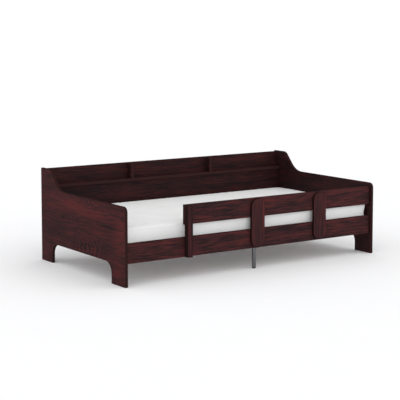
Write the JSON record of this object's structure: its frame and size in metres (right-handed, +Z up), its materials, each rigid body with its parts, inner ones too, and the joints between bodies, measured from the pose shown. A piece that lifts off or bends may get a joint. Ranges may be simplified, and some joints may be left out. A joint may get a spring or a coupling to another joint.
{
  "type": "low single bed with guard rail",
  "caption": "Low child's day bed with arched board gables, back with a narrow divided shelf, part-length front guard rail on posts, slatted base and mattress.",
  "frame": {"origin": "on the floor, under the middle of the bounding box", "axes": "+X along the bed to the right of someone who stands in front of it, +Y to the back, which stands at the wall, +Z up"},
  "size_m": [1.644, 0.9162, 0.514],
  "materials": {
    "dark_board": "dark brown-red wood-grain laminate on chipboard, satin",
    "birch": "plain birch, sanded, unlacquered",
    "chrome": "plated steel tube, bright",
    "zinc": "zinc-plated fittings, dull",
    "black_plastic": "moulded, matt",
    "mattress_fabric": "white woven ticking over foam"
  },
  "bodies": {
    "root": {"left_gable": "dark_board", "right_gable": "dark_board", "front_rail": "dark_board", "guard_rail": "dark_board", "guard_post_left": "dark_board", "guard_post_middle": "dark_board", "guard_post_right": "dark_board", "lower_back_board": "dark_board", "upper_back_board": "dark_board", "shelf": "dark_board", "shelf_divider_1": "dark_board", "shelf_divider_2": "dark_board", "front_cleat": "birch", "rear_cleat": "birch", "slat_1": "birch", "slat_2": "birch", "slat_3": "birch", "slat_4": "birch", "slat_5": "birch", "slat_6": "birch", "slat_7": "birch", "slat_8": "birch", "slat_9": "birch", "slat_10": "birch", "slat_11": "birch", "slat_12": "birch", "middle_leg": "chrome", "leg_insert": "black_plastic", "screw_leg_front_left": "zinc", "screw_leg_front_right": "zinc", "screw_leg_rear_left": "zinc", "screw_leg_rear_right": "zinc", "cam_front_rail_left_lower": "zinc", "cam_front_rail_left_upper": "zinc", "cam_front_rail_right_lower": "zinc", "cam_front_rail_right_upper": "zinc", "cam_guard_rail_right_lower": "zinc", "cam_guard_rail_right_upper": "zinc", "cam_lower_back_board_left_lower": "zinc", "cam_lower_back_board_left_upper": "zinc", "cam_lower_back_board_right_lower": "zinc", "cam_lower_back_board_right_upper": "zinc", "cam_upper_back_board_left_lower": "zinc", "cam_upper_back_board_left_upper": "zinc", "cam_upper_back_board_right_lower": "zinc", "cam_upper_back_board_right_upper": "zinc", "screw_left_post_front_rail_1": "zinc", "screw_left_post_guard_rail_1": "zinc", "screw_middle_post_front_rail_1": "zinc", "screw_middle_post_front_rail_2": "zinc", "screw_middle_post_guard_rail_1": "zinc", "screw_middle_post_guard_rail_2": "zinc", "screw_right_post_front_rail_1": "zinc", "screw_right_post_front_rail_2": "zinc", "screw_right_post_guard_rail_1": "zinc", "screw_right_post_guard_rail_2": "zinc"},
    "mattress": {"mattress": "mattress_fabric"},
    "foot_pad": {"leg_foot_pad": "black_plastic"},
    "adjusting_screw": {"leg_adjusting_screw": "zinc"}
  },
  "joints": [
    {"name": "mattress_lift", "type": "slide", "parent": "root", "child": "mattress", "axis": [0, 0, 1], "range_m": [0, 0.4]},
    {"name": "foot_pad_slide", "type": "slide", "parent": "root", "child": "foot_pad", "axis": [0, 0, -1], "range_m": [0, 0.012]},
    {"name": "adjusting_screw_turn", "type": "hinge", "parent": "foot_pad", "child": "adjusting_screw", "pos_m": [0.004, -0.4027, 0], "axis": [0, 0, -1], "range_deg": [0, 3456]}
  ],
  "couplings": [
    {"joint": "adjusting_screw_turn", "follows": "foot_pad_slide", "rad_per_m": 5026.5}
  ]
}
